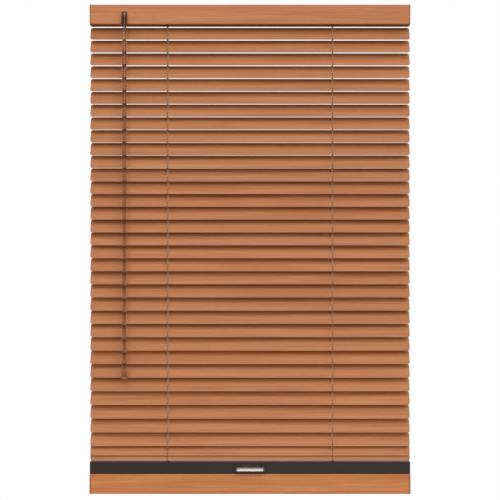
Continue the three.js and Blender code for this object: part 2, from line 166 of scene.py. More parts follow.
class BlindColours(bpy.types.PropertyGroup):
    """Colours of the finishes"""

    wood_light: colour("Light grain", "Light tone of the printed grain", "#d48d59")
    wood_dark: colour("Dark grain", "Dark tone of the printed grain", "#bd713f")
    wood_pore: colour("Pores", "Fine dark streaks in the printed grain", "#98572c")
    end_cap: colour("End cap", "Moulded caps of the headrail and bottom rail", "#b06c41")
    band: colour("Rail cover", "Dark moulded cover on the bottom rail", "#332722")
    ladder: colour("Ladder string", "Dyed ladder braid", "#a5693f")
    cord: colour("Lift cord", "Tan lift cord", "#dcaa86")
    acetal: colour("White plastic", "Moulded parts inside the headrail", "#c9c3ba")
    zinc: colour("Zinc", "Plated steel of the rod and brackets", "#c3c6ca")
    acrylic: colour("Wand", "Clear extruded wand", "#ebe6e2")
    smoke: colour("Wand sleeve", "Smoke-tinted clear plastic of the hook sleeve", "#b9a79d")
    nickel: colour("Handle", "Satin plated release handle", "#aea6a2")
    floor: colour("Floor", "Plain studio floor", "#e9e7e4")


def sizes():
    """The size settings of the scene."""
    return bpy.context.scene.blind_sizes


def colours():
    """The colour settings of the scene."""
    return bpy.context.scene.blind_colours


# ---- mesh helpers ----
def drop_faces(bm):
    """Deletes the faces and leaves their edges."""
    bmesh.ops.delete(bm, geom=bm.faces[:], context="FACES_ONLY")


def outline(bm, width, height, corner, at=(0, 0), steps=4):
    """Draws a rounded rectangle flat in XY, as a face."""
    verts = bmesh.ops.create_grid(bm, x_segments=1, y_segments=1, size=0.5)["verts"]
    bmesh.ops.scale(bm, vec=(width, height, 1), verts=verts)
    bmesh.ops.translate(bm, vec=(*at, 0), verts=verts)
    bmesh.ops.bevel(
        bm, geom=verts, offset=corner, segments=steps, profile=0.5, affect="VERTICES",
        material=-1,
    )


def punched(bm, outer, holes):
    """Fills a flat outline, leaving out the holes inside it. Each is (width, height, corner, at)."""
    for shape in (outer, *holes):
        outline(bm, *shape)
    drop_faces(bm)
    bmesh.ops.triangle_fill(bm, use_beauty=True, edges=bm.edges[:], normal=(0, 0, 1))
    bmesh.ops.recalc_face_normals(bm, faces=bm.faces[:])
    if bm.faces[:][0].normal.z < 0:
        bmesh.ops.reverse_faces(bm, faces=bm.faces[:])


def plate(width, height, thickness, corner, holes=(), edge=0.0):
    """A flat plate with holes, its middle at the origin and its thickness along Z."""
    bm = bmesh.new()
    punched(bm, (width, height, corner), holes)
    bmesh.ops.dissolve_limit(
        bm, angle_limit=0.01, verts=bm.verts[:], edges=bm.edges[:], use_dissolve_boundaries=False,
    )
    made = bmesh.ops.extrude_face_region(bm, geom=bm.faces[:])["geom"]
    top = [item for item in made if isinstance(item, bmesh.types.BMVert)]
    bmesh.ops.translate(bm, vec=(0, 0, thickness), verts=top)
    bmesh.ops.translate(bm, vec=(0, 0, -thickness / 2), verts=bm.verts[:])
    bmesh.ops.recalc_face_normals(bm, faces=bm.faces[:])
    if edge:
        soften(bm, edge)
    return bm


def soften(bm, radius, segments=2, above=40):
    """Rounds every edge that is sharper than an angle in degrees."""
    sharp = [e for e in bm.edges if e.is_manifold and e.calc_face_angle() > math.radians(above)]
    bmesh.ops.bevel(
        bm, geom=sharp, offset=radius, segments=segments, profile=0.5, affect="EDGES",
        material=-1, clamp_overlap=True,
    )


def turned(profile, steps=24):
    """A round piece spun about Z from (radius, height) points."""
    bm = bmesh.new()
    verts = [bm.verts.new((r, 0, z)) for r, z in profile]
    edges = [bm.edges.new(pair) for pair in zip(verts, verts[1:])]
    bmesh.ops.spin(
        bm, geom=verts + edges, cent=(0, 0, 0), axis=Z_AXIS, angle=math.tau, steps=steps,
        use_merge=True,
    )
    clean(bm)
    return bm


def clean(bm):
    """Merges doubled points, then turns every face outwards."""
    bmesh.ops.remove_doubles(bm, verts=bm.verts[:], dist=1e-6)
    bmesh.ops.recalc_face_normals(bm, faces=bm.faces[:])


def edges_of(verts):
    """The edges that meet at these points, each once and always in the same order."""
    return list(dict.fromkeys(edge for vert in verts for edge in vert.link_edges))


def hexagon(corner, depth, height):
    """An upright hexagonal bar with its middle at that height."""
    bm = bmesh.new()
    bmesh.ops.create_cone(
        bm, cap_ends=True, segments=6, radius1=corner, radius2=corner, depth=depth,
        matrix=Matrix.Translation((0, 0, height)),
    )
    return bm


def swept(bm, points, radius, sides=8):
    """Pushes a round section along a line of points, closed at both ends."""
    points = [Vector(p) for p in points]
    heading = [(b - a).normalized() for a, b in zip(points, points[1:])]
    between = [(a + b).normalized() for a, b in zip(heading, heading[1:])]
    heading = [heading[0], *between, heading[-1]]
    start = Matrix.Translation(points[0]) @ heading[0].to_track_quat("Z", "Y").to_matrix().to_4x4()
    ring = bmesh.ops.create_circle(bm, cap_ends=True, radius=radius, segments=sides, matrix=start)
    edges = edges_of(ring["verts"])
    for i in range(1, len(points)):
        turn = heading[i - 1].rotation_difference(heading[i]).to_matrix().to_4x4()
        step = Matrix.Translation(points[i]) @ turn @ Matrix.Translation(-points[i - 1])
        made = bmesh.ops.extrude_edge_only(bm, edges=edges)["geom"]
        verts = [item for item in made if isinstance(item, bmesh.types.BMVert)]
        edges = [item for item in made if isinstance(item, bmesh.types.BMEdge)]
        bmesh.ops.transform(bm, matrix=step, verts=verts)
    bmesh.ops.contextual_create(bm, geom=edges)


def knot(bm, at, radius):
    """A small round knot."""
    bmesh.ops.create_icosphere(bm, subdivisions=1, radius=radius, matrix=Matrix.Translation(at))


def piece(name, bm, body, material, replaces=(), sharp=35):
    """Makes the finished object from a bmesh, already in place, and lets it ride on its body."""
    mesh = bpy.data.meshes.new(name)
    bm.to_mesh(mesh)
    bm.free()
    mesh.shade_smooth()
    mesh.set_sharp_from_angle(angle=math.radians(sharp))
    mesh.materials.append(material)
    obj = bpy.data.objects.new(name, mesh)
    bpy.context.scene.collection.objects.link(obj)
    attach(obj, body)
    if replaces:
        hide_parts(*replaces)
    return obj


def placed(bm, *steps):
    """Moves a bmesh by matrices, the first one first."""
    for step in steps:
        bmesh.ops.transform(bm, matrix=step, verts=bm.verts[:])
    return bm


def joined(*parts):
    """Puts several bmeshes into one."""
    whole = bmesh.new()
    for part in parts:
        mesh = bpy.data.meshes.new("part")
        part.to_mesh(mesh)
        part.free()
        whole.from_mesh(mesh)
        bpy.data.meshes.remove(mesh)
    return whole


def finish_node(name, material, edge=None):
    """Gives a CAD node its finish, and rounds its edges a little."""
    obj = frame["nodes"][name]
    if not obj.material_slots:
        raise RuntimeError(f"{name} has no material slot")
    obj.material_slots[0].link = "OBJECT"
    obj.material_slots[0].material = material
    if edge is None:
        edge = sizes().edge_round
    if edge > 0:
        weld = obj.modifiers.new("Weld", "WELD")
        weld.merge_threshold = 0.01 * MM
        bevel = obj.modifiers.new("Edge", "BEVEL")
        bevel.width = edge
        bevel.segments = 2
        bevel.limit_method = "ANGLE"
        bevel.angle_limit = math.radians(40)
    return obj


# ---- material helpers ----
def add_node(tree, kind, inputs=(), **settings):
    """Adds a node with its settings, and fills its inputs from values or from other sockets."""
    made = tree.nodes.new(kind)
    for key, value in settings.items():
        setattr(made, key, value)
    for key, value in dict(inputs).items():
        if isinstance(value, bpy.types.NodeSocket):
            tree.links.new(value, made.inputs[key])
        else:
            made.inputs[key].default_value = value
    return made


def end_shader(tree, inputs):
    """Ends a material with its shader and output."""
    shader = add_node(tree, "ShaderNodeBsdfPrincipled", inputs)
    add_node(tree, "ShaderNodeOutputMaterial", {"Surface": shader.outputs["BSDF"]})


def noise_at(tree, spacing, detail=3.0, distortion=0.0, offset=(0, 0, 0)):
    """Noise on the object's own coordinates, with its grain size in metres along X, Y and Z."""
    coords = add_node(tree, "ShaderNodeTexCoord")
    mapping = add_node(tree, "ShaderNodeMapping", {
        "Vector": coords.outputs["Object"],
        "Location": offset,
        "Scale": tuple(1 / s for s in spacing),
    })
    return add_node(tree, "ShaderNodeTexNoise", {
        "Vector": mapping.outputs["Vector"], "Scale": 1.0, "Detail": detail,
        "Roughness": 0.55, "Distortion": distortion,
    }).outputs["Fac"]


def ramp(tree, fac, low, high, at=(0.35, 0.65)):
    """Turns a pattern into a colour between two."""
    made = add_node(tree, "ShaderNodeValToRGB", {"Fac": fac})
    for stop, place, value in zip(made.color_ramp.elements, at, (low, high)):
        stop.position = place
        stop.color = value
    return made.outputs["Color"]


def mixed(tree, fac, a, b):
    """Blends two colours by a pattern."""
    made = add_node(tree, "ShaderNodeMix", data_type="RGBA")
    for index, value in ((0, fac), (6, a), (7, b)):
        if isinstance(value, bpy.types.NodeSocket):
            tree.links.new(value, made.inputs[index])
        else:
            made.inputs[index].default_value = value
    return made.outputs[2]


def bump(tree, height, depth, strength=1.0):
    """A relief whose full depth is given in metres."""
    return add_node(tree, "ShaderNodeBump", {
        "Height": height, "Distance": depth, "Strength": strength,
    }).outputs["Normal"]


def spread(tree, fac, low, high):
    """A pattern's middle range as a number from low to high."""
    return add_node(tree, "ShaderNodeMapRange", {
        "Value": fac, "From Min": 0.3, "From Max": 0.7, "To Min": low, "To Max": high,
    }).outputs["Result"]


# ---- finishes ----
def new_material(name):
    """An empty material and its node tree."""
    material = bpy.data.materials.new(name)
    material.use_nodes = True
    material.node_tree.nodes.clear()
    return material, material.node_tree


def grain_enamel(name, offset, tone=1.0):
    """Coil-coated strip: base enamel, printed wood grain and satin lacquer.

    The print gives long soft bands of an orange and a paler brown with fine pores, all along the
    strip, and the lacquer a low, wide sheen with almost no relief.
    """
    c = colours()
    # tone darkens the whole print; the slats' 0.79 is painted shade, not a darker print
    light, dark, pore_tone = [shade(part, tone) for part in (c.wood_light, c.wood_dark, c.wood_pore)]
    material, tree = new_material(name)
    figure = noise_at(tree, (300 * MM, 8 * MM, 8 * MM), 2.0, 0.4, offset)
    streak = noise_at(tree, (110 * MM, 2.4 * MM, 2.4 * MM), 3.0, 0.2, offset)
    pore = noise_at(tree, (16 * MM, 0.5 * MM, 0.5 * MM), 2.0, 0.0, offset)
    broad = ramp(tree, figure, dark, light, (0.36, 0.62))
    fine = ramp(tree, streak, dark, light, (0.38, 0.62))
    wood = mixed(tree, 0.45, broad, fine)
    pores = ramp(tree, pore, (0.22, 0.22, 0.22, 1), (0.0, 0.0, 0.0, 1), (0.34, 0.5))
    end_shader(tree, {
        "Base Color": mixed(tree, pores, wood, pore_tone),
        "Roughness": spread(tree, streak, 0.42, 0.52),
        "Normal": bump(tree, pore, 0.02 * MM, 0.5),
        "Coat Weight": 0.06,
        "Coat Roughness": 0.35,
        "Specular IOR Level": 0.25,
    })
    return material


def moulded(name, tone, roughness, grit=0.5 * MM, depth=0.015 * MM):
    """Injection-moulded plastic: an even colour and a fine spark-eroded texture that softens the gloss."""
    material, tree = new_material(name)
    texture = noise_at(tree, (grit, grit, grit), 2.0)
    cloud = noise_at(tree, (30 * MM, 30 * MM, 30 * MM), 2.0)
    darker = shade(tone, 0.9)
    end_shader(tree, {
        "Base Color": ramp(tree, cloud, darker, tuple(tone)),
        "Roughness": spread(tree, texture, roughness - 0.05, roughness + 0.07),
        "Normal": bump(tree, texture, depth, 0.6),
        "Specular IOR Level": 0.3,
    })
    return material


def zinc_plate(name, tone):
    """Zinc-plated steel: a grey metal whose plating clouds and crystals vary its gloss."""
    material, tree = new_material(name)
    spangle = noise_at(tree, (4 * MM, 4 * MM, 4 * MM), 4.0, 0.8)
    brush = noise_at(tree, (12 * MM, 0.3 * MM, 0.3 * MM), 2.0)
    darker = shade(tone, 0.8)
    end_shader(tree, {
        "Base Color": ramp(tree, spangle, darker, tuple(tone)),
        "Metallic": 1.0,
        "Roughness": spread(tree, spangle, 0.28, 0.46),
        "Normal": bump(tree, brush, 0.01 * MM, 0.5),
    })
    return material


def clear_plastic(name, tone, roughness):
    """Extruded clear plastic: lightly tinted, with draw lines along it that blur what is behind."""
    material, tree = new_material(name)
    lines = noise_at(tree, (0.9 * MM, 0.9 * MM, 60 * MM), 2.0)
    end_shader(tree, {
        "Base Color": tuple(tone),
        "Transmission Weight": 1.0,
        "IOR": CLEAR_INDEX,
        "Roughness": spread(tree, lines, roughness - 0.05, roughness + 0.05),
        "Normal": bump(tree, lines, 0.02 * MM, 0.4),
    })
    return material


def braid(name, tone, spacing):
    """Braided polyester: matt, with slanting strands in relief, and painted shade darkening the grooves
    between the strands.
    """
    material, tree = new_material(name)
    coords = add_node(tree, "ShaderNodeTexCoord")
    strands = add_node(tree, "ShaderNodeTexWave", {
        "Vector": coords.outputs["Object"], "Scale": 1 / (spacing * 6), "Distortion": 1.5, "Detail": 1.0,
    }, wave_type="BANDS", bands_direction="DIAGONAL").outputs["Fac"]
    fuzz = noise_at(tree, (0.3 * MM, 0.3 * MM, 1.2 * MM), 2.0)
    # painted shade: the colour falls to 0.6 in the grooves between the strands, where the bump is low
    darker = shade(tone, 0.6)
    end_shader(tree, {
        "Base Color": ramp(tree, strands, darker, tuple(tone), (0.1, 0.7)),
        "Roughness": spread(tree, fuzz, 0.72, 0.9),
        "Normal": bump(tree, strands, 0.12 * MM, 0.8),
        "Specular IOR Level": 0.2,
    })
    return material


def satin_plate(name, tone):
    """Satin nickel on cast zinc: brushed along its length, so highlights stretch across it."""
    material, tree = new_material(name)
    brush = noise_at(tree, (14 * MM, 0.25 * MM, 0.25 * MM), 3.0)
    darker = shade(tone, 0.88)
    end_shader(tree, {
        "Base Color": ramp(tree, brush, darker, tuple(tone)),
        "Metallic": 1.0,
        "Roughness": spread(tree, brush, 0.36, 0.48),
        "Normal": bump(tree, brush, 0.01 * MM, 0.5),
    })
    return material


FINISHES = {
    "Rail grain enamel": lambda c: grain_enamel("Rail grain enamel", (0.3, 5.2, 1.4)),
    # painted shade: the slats get the same print as the rail at 0.79 of its brightness, so the tilted
    # slats, which catch more light than the upright rail fronts, come out as dark as them
    "Slat grain enamel with painted shade": lambda c: grain_enamel("Slat grain enamel with painted shade", (7.1, 0.6, 3.3), 0.79),
    "Brown moulded ABS": lambda c: moulded("Brown moulded ABS", c.end_cap, 0.45),
    "Dark moulded ABS": lambda c: moulded("Dark moulded ABS", c.band, 0.5),
    "White moulded acetal": lambda c: moulded("White moulded acetal", c.acetal, 0.4),
    "Zinc-plated steel": lambda c: zinc_plate("Zinc-plated steel", c.zinc),
    "Clear extruded acrylic": lambda c: clear_plastic("Clear extruded acrylic", c.acrylic, 0.1),
    "Smoked clear acrylic": lambda c: clear_plastic("Smoked clear acrylic", c.smoke, 0.2),
    "Braided ladder polyester": lambda c: braid("Braided ladder polyester", c.ladder, 0.5 * MM),
    "Braided cord polyester": lambda c: braid("Braided cord polyester", c.cord, 0.7 * MM),
    "Satin nickel plate": lambda c: satin_plate("Satin nickel plate", c.nickel),
}


def finish(name):
    """The finish of that name, made once."""
    return bpy.data.materials.get(name) or FINISHES[name](colours())


# ---- operators ----
class BLIND_OT_camera(bpy.types.Operator):
    """Places the camera straight in front of the blind"""

    bl_idname = "blind.camera"
    bl_label = "Camera"

    def execute(self, context):
        data = bpy.data.cameras.new("Camera")
        data.lens = 89.3
        data.sensor_width = 36
        data.clip_start = 0.05
        data.clip_end = 50
        camera = bpy.data.objects.new("Camera", data)
        camera.location = (0, -2.044, -0.4034)
        camera.rotation_euler = (math.radians(90), 0, 0)
        context.scene.collection.objects.link(camera)
        context.scene.camera = camera
        return {"FINISHED"}


class BLIND_OT_headrail(bpy.types.Operator):
    """Finishes the headrail and its caps, and adds the cradles that hold the drums"""

    bl_idname = "blind.headrail"
    bl_label = "Headrail"

    def execute(self, context):
        finish_node("headrail", finish("Rail grain enamel"))
        for side, sign in SIDES.items():
            finish_node(f"headrail_cap_{side}", finish("Brown moulded ABS"))
            finish_node(f"bracket_{side}", finish("Zinc-plated steel"))
            self.cradle(side, sign)
        return {"FINISHED"}

    def cradle(self, side, sign):
        """A moulded foot with a slot for the ladder, and two cheeks round the drum."""
        low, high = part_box("headrail")
        drum_low, drum_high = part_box(f"ladder_drum_{side}")
        floor = low.z + 0.8 * MM
        foot_thickness = 1.4 * MM
        depth = high.y - low.y - 2.6 * MM
        slot = (5 * MM, 19.5 * MM, 2.4 * MM, (0, 0))
        foot = plate(22 * MM, depth, foot_thickness, 2 * MM, [slot], 0.2 * MM)
        placed(foot, Matrix.Translation((sign * LADDER_X, 0, floor + foot_thickness / 2)))
        height = drum_high.z - 3 * MM - floor
        bore = 6.8 * MM
        parts = [foot]
        for cheek in (drum_low.x - 1.3 * MM, drum_high.x + 1.3 * MM):
            centre = floor + height / 2
            hole = (bore, bore, bore / 2 - 0.01 * MM, (0, SHAFT_Z - centre))
            wall = plate(depth - 2 * MM, height, 1.6 * MM, 3 * MM, [hole], 0.2 * MM)
            parts.append(placed(wall, FACING_SIDE, Matrix.Translation((cheek, 0, centre))))
        acetal = finish("White moulded acetal")
        piece(f"ladder_cradle_{side}", joined(*parts), "head", acetal)


class BLIND_OT_tilter(bpy.types.Operator):
    """Finishes the tilt shaft and its housing, and cuts the worm's thread"""

    bl_idname = "blind.tilter"
    bl_label = "Tilter"

    def execute(self, context):
        for node in ("tilter_housing", "tilter_gear", "ladder_drum_left", "ladder_drum_right"):
            finish_node(node, finish("White moulded acetal"))
        finish_node("tilt_rod", finish("Zinc-plated steel"))
        self.worm()
        return {"FINISHED"}

    def worm(self):
        """The worm's stem with its thread, and the eye that the wand hooks into."""
        pitch = sizes().thread_pitch
        thread_start, thread_end = 13.2 * MM, 22.2 * MM
        stem = turned([
            (0, 1.7 * MM), (1.2 * MM, 1.7 * MM), (1.6 * MM, 2.6 * MM), (1.6 * MM, 12.4 * MM),
            (2.1 * MM, 12.5 * MM), (2.1 * MM, 13.0 * MM), (1.55 * MM, 13.1 * MM),
            (1.55 * MM, 22.6 * MM), (1.1 * MM, 23 * MM), (0, 23 * MM),
        ])
        turns = (thread_end - thread_start) / pitch
        root = 1.6 * MM
        count = int(turns * 16)
        helix = []
        for i in range(count + 1):
            angle = math.tau * turns * i / count
            height = thread_start + (thread_end - thread_start) * i / count
            helix.append((root * math.cos(angle), root * math.sin(angle), height))
        ridge = bmesh.new()
        swept(ridge, helix, 0.55 * MM, 6)
        inward = WORM_IN.to_track_quat("Z", "X").to_matrix().to_4x4()
        threaded = placed(joined(stem, ridge), Matrix.Translation(HOOK) @ inward)
        whole = joined(threaded, placed(self.eye(), Matrix.Translation(HOOK)))
        acetal = finish("White moulded acetal")
        piece("worm_with_thread", whole, "worm", acetal, ["tilter_worm"])

    def eye(self):
        """A round ring about X, at the origin."""
        eye = bmesh.new()
        across = Matrix.Rotation(QUARTER, 4, "Z") @ Matrix.Rotation(QUARTER, 4, "Y")
        start = Matrix.Translation((0, 1.5 * MM, 0)) @ across
        ring = bmesh.ops.create_circle(eye, radius=0.55 * MM, segments=10, matrix=start)["verts"]
        bmesh.ops.spin(
            eye, geom=ring + edges_of(ring), cent=(0, 0, 0), axis=X_AXIS, angle=math.tau, steps=20,
            use_merge=True,
        )
        clean(eye)
        return eye


class BLIND_OT_slats(bpy.types.Operator):
    """Makes the crowned slats, each with its two cord holes"""

    bl_idname = "blind.slats"
    bl_label = "Slats"

    def execute(self, context):
        blank = self.blank()
        material = finish("Slat grain enamel with painted shade")
        for name in SLATS:
            bm = bmesh.new()
            bm.from_mesh(blank)
            piece(f"{name}_crowned", placed(bm, at_rest(name)), name, material, [name])
        bpy.data.meshes.remove(blank)
        return {"FINISHED"}

    def blank(self):
        """One flat-lying slat with its crown up, the middle of its chord at the origin."""
        s = sizes()
        bm = bmesh.new()
        hole = (s.route_width, s.route_length, s.route_width / 2 - 0.01 * MM)
        punched(
            bm, (SLAT_LENGTH, SLAT_WIDTH, s.slat_corner),
            [(*hole, (sign * LADDER_X, 0)) for sign in SIDES.values()],
        )
        for row in range(1, s.slat_rows):
            cut = SLAT_WIDTH * (row / s.slat_rows - 0.5)
            bmesh.ops.bisect_plane(
                bm, geom=bm.verts[:] + bm.edges[:] + bm.faces[:], dist=1e-6,
                plane_co=(0, cut, 0), plane_no=(0, 1, 0),
            )
        half = SLAT_WIDTH / 2
        radius = (half ** 2 + s.slat_crown ** 2) / (2 * s.slat_crown)
        for vert in bm.verts:
            vert.co.z = math.sqrt(radius ** 2 - vert.co.y ** 2) - radius + s.slat_crown
        bmesh.ops.solidify(bm, geom=bm.faces[:], thickness=s.slat_thickness)
        bmesh.ops.recalc_face_normals(bm, faces=bm.faces[:])
        mesh = bpy.data.meshes.new("slat_blank")
        bm.to_mesh(mesh)
        bm.free()
        return mesh


class BLIND_OT_ladders(bpy.types.Operator):
    """Strings the ladders: front and back strings with their knots, and a rung under each slat"""

    bl_idname = "blind.ladders"
    bl_label = "Ladders"

    def execute(self, context):
        for side, sign in SIDES.items():
            self.string(side, sign, "front", FRONT_EDGE, -STRING_Y)
            self.string(side, sign, "back", BACK_EDGE, STRING_Y)
        for name in SLATS:
            self.rungs(name)
        return {"FINISHED"}

    def string(self, side, sign, where, edge, y):
        """One string in two stretches that both ride the ladder's body: the upper one down to the lowest
        slat that stays put, and the lower one, with a mesh of its own, on down to the rail.
        """
        s = sizes()
        node = f"ladder_{where}_{side}"
        body = f"ladder_{where}"
        material = finish("Braided ladder polyester")
        x = sign * LADDER_X
        split = (pivot_of(LAST_FREE) + edge).z
        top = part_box(node)[1].z
        tail = RAIL_TOP - (22 * MM if where == "front" else 6 * MM)
        upper = bmesh.new()
        swept(upper, [(x, y, top), (x, y, split)], s.string_radius)
        lower = bmesh.new()
        swept(lower, [(x, y, split), (x, y, tail)], s.string_radius)
        for name in SLATS:
            at = (pivot_of(name) + edge).z
            knot(upper if at >= split - 1e-6 else lower, (x, y, at), s.knot_radius)
        clean(upper)
        clean(lower)
        piece(f"{node}_string", upper, body, material, [node])
        tail_piece = piece(f"{node}_tail", lower, body, material)
        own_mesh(tail_piece)

    def rungs(self, name):
        """Two threads per ladder, close under the slat, that meet at its two edges."""
        s = sizes()
        half = SLAT_WIDTH / 2
        out = abs(STRING_Y) - abs(FRONT_EDGE.y)
        under = -s.slat_thickness - s.rung_radius
        bm = bmesh.new()
        for sign in SIDES.values():
            for lean in (-1, 1):
                x = sign * LADDER_X
                far = x + lean * s.rung_spread
                swept(bm, [
                    (x, -half - 0.5 * out, 0), (far, -half + 4 * MM, under), (far, half - 4 * MM, under),
                    (x, half + 0.5 * out, 0),
                ], s.rung_radius, 6)
        clean(bm)
        number = name[-2:]
        carried = [n for n in (f"ladder_rung_{number}",) if n in frame["nodes"]]
        material = finish("Braided ladder polyester")
        piece(f"rungs_{number}", placed(bm, at_rest(name)), name, material, carried)


class BLIND_OT_lift_cords(bpy.types.Operator):
    """Runs the lift cords from the headrail through the slats into the bottom rail"""

    bl_idname = "blind.lift_cords"
    bl_label = "Lift cords"

    def execute(self, context):
        s = sizes()
        for side, sign in SIDES.items():
            low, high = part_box(f"lift_cord_{side}")
            bm = bmesh.new()
            for dx in (-s.cord_spread, s.cord_spread):
                x = sign * LADDER_X + dx
                swept(bm, [(x, 0, high.z), (x, 0, low.z)], s.cord_radius, 10)
            clean(bm)
            piece(
                f"lift_cord_{side}_braid", bm, "head", finish("Braided cord polyester"),
                [f"lift_cord_{side}"],
            )
        return {"FINISHED"}


class BLIND_OT_wand(bpy.types.Operator):
    """Makes the clear wand with its hook, sleeve and grip"""

    bl_idname = "blind.wand"
    bl_label = "Wand"

    def execute(self, context):
        acrylic = finish("Clear extruded acrylic")
        down = Matrix.Translation((HOOK.x, HOOK.y, 0))
        self.sleeve(finish("Smoked clear acrylic"), down)
        self.rod(acrylic, down)
        self.grip(acrylic, down)
        self.hook(acrylic)
        return {"FINISHED"}

    def sleeve(self, smoked, down):
        """A short tube, notched at the top of its back to let the worm in."""
        low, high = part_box("wand_sleeve")
        outer = (high.x - low.x) / 2
        inner = outer - 1.3 * MM
        rim = 0.3 * MM
        sill = high.z - 6 * MM
        tube = turned([
            (inner, low.z + rim), (inner + rim, low.z), (outer - rim, low.z), (outer, low.z + rim),
            (outer, sill), (outer, high.z - rim), (outer - rim, high.z), (inner + rim, high.z),
            (inner, high.z - rim), (inner, sill), (inner, low.z + rim),
        ], 32)
        centres = [(f, f.calc_center_median()) for f in tube.faces]
        notch = [f for f, c in centres if c.z > sill and c.y > 0 and abs(c.x) < 0.55 * c.y]
        bmesh.ops.delete(tube, geom=notch, context="FACES")
        edges = [e for e in tube.edges if e.is_boundary]
        level = [e for e in edges if all(abs(v.co.z - sill) < 1e-6 for v in e.verts)]
        bmesh.ops.bridge_loops(tube, edges=level)
        bmesh.ops.holes_fill(tube, edges=[e for e in tube.edges if e.is_boundary], sides=0)
        clean(tube)
        placed(tube, down)
        piece("wand_sleeve_clear", tube, "wand_hanger", smoked, ["wand_sleeve"])

    def rod(self, acrylic, down):
        """The hollow hexagonal rod, and the round barrel just under the sleeve."""
        low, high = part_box("wand")
        corner = (high.y - low.y) / 2
        shoulder = high.z - sizes().neck_length
        depth = shoulder - low.z
        bm = hexagon(corner, depth, low.z + depth / 2)
        soften(bm, 0.4 * MM, 2)
        bore = hexagon(corner - 1.1 * MM, depth - 4 * MM, low.z + depth / 2)
        bmesh.ops.reverse_faces(bore, faces=bore.faces[:])
        barrel_low, barrel_high, wide = high.z - 23 * MM, high.z - 13 * MM, 2.9 * MM
        barrel = turned([
            (0, barrel_low), (wide - 0.9 * MM, barrel_low), (wide, barrel_low + 0.9 * MM),
            (wide, barrel_high - 0.9 * MM), (wide - 0.9 * MM, barrel_high), (0, barrel_high),
        ])
        whole = placed(joined(bm, bore, barrel), down)
        piece("wand_rod_clear", whole, "wand", acrylic, ["wand"])

    def grip(self, acrylic, down):
        """A moulded cup on the rod's end, drawn as shares of its own radius and height."""
        low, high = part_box("wand_grip")
        wide = (high.x - low.x) / 2
        tall = high.z - low.z
        wall = 0.28
        outer = [
            (0.80, 0), (0.93, 0.012), (1.0, 0.035), (1.0, 0.07), (0.95, 0.10), (0.93, 0.5), (0.90, 0.86),
            (0.91, 0.90), (0.98, 0.93), (0.98, 0.965), (0.9, 0.99), (0.78, 1.0),
        ]
        bore = [(0.76 - wall / 3, 1.0), (0.72 - wall / 3, 0.97), (0.92 - wall, 0.6), (0.92 - wall, 0.1)]
        shape = [(0, 0), *outer, *bore, (0.5, 0.06), (0, 0.06)]
        bm = turned([(r * wide, low.z + z * tall) for r, z in shape], 32)
        piece("wand_grip_clear", placed(bm, down), "wand", acrylic, ["wand_grip"])

    def hook(self, acrylic):
        """The neck: two clear strands that twist into one stem, and a wire hook through the worm's eye."""
        x, y = HOOK.x, HOOK.y
        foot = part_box("wand")[1].z - sizes().neck_length
        bm = bmesh.new()
        swept(bm, [
            (x, y, foot - 1 * MM), (x, y, foot + 5.5 * MM), (x + 0.5 * MM, y, foot + 8.5 * MM),
            (x + 1.7 * MM, y, foot + 12 * MM), (x + 2 * MM, y, foot + 14.5 * MM),
        ], 1.0 * MM, 10)
        swept(bm, [
            (x - 2 * MM, y, foot + 14.5 * MM), (x - 1.7 * MM, y, foot + 12 * MM),
            (x - 0.3 * MM, y, foot + 8 * MM), (x, y, foot + 6 * MM),
        ], 0.8 * MM, 10)
        clean(bm)
        piece("wand_neck", bm, "wand", acrylic)
        bend = 1.6 * MM
        centre = HOOK.z - 0.45 * MM - bend
        arc = [
            (x + bend * math.cos(math.radians(a)), y, centre + bend * math.sin(math.radians(a)))
            for a in range(-40, 201, 20)
        ]
        wire = bmesh.new()
        swept(wire, [(x, y, centre - 14 * MM), (x, y, centre - 3.4 * MM), *arc], 0.45 * MM, 10)
        clean(wire)
        piece("wand_hook", wire, "wand", finish("Zinc-plated steel"))


class BLIND_OT_bottom_rail(bpy.types.Operator):
    """Finishes the bottom rail and its cover, and adds the end caps and ladder buttons"""

    bl_idname = "blind.bottom_rail"
    bl_label = "Bottom rail"

    def execute(self, context):
        finish_node("bottom_rail", finish("Rail grain enamel"))
        finish_node("bottom_rail_cover", finish("Dark moulded ABS"))
        finish_node("spring_motor", finish("White moulded acetal"))
        for side, sign in SIDES.items():
            self.end_cap(side, sign)
            self.button(side, sign)
        return {"FINISHED"}

    def end_cap(self, side, sign):
        """A moulded cap that stands a little proud of the rail's end."""
        low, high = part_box("bottom_rail")
        proud = 0.2 * MM
        skirt = 2.6 * MM
        bm = plate(
            high.y - low.y + 2 * proud, high.z - low.z + proud, skirt + proud, 1.6 * MM, (), 0.15 * MM,
        )
        centre = (sign * (high.x + proud - (skirt + proud) / 2), 0, (low.z + high.z - proud) / 2)
        placed(bm, FACING_SIDE, Matrix.Translation(centre))
        piece(f"rail_end_cap_{side}", bm, "bottom_rail", finish("Brown moulded ABS"))

    def button(self, side, sign):
        """A domed button that closes the hole where the ladder is tied off."""
        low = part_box("bottom_rail")[0]
        bm = turned([
            (0, 0.8 * MM), (5.4 * MM, 0.8 * MM), (6 * MM, 0), (5.6 * MM, -0.5 * MM), (4 * MM, -0.9 * MM),
            (0, -1.1 * MM),
        ], 32)
        placed(bm, Matrix.Translation((sign * LADDER_X, 0, low.z)))
        piece(f"ladder_button_{side}", bm, "bottom_rail", finish("Brown moulded ABS"))


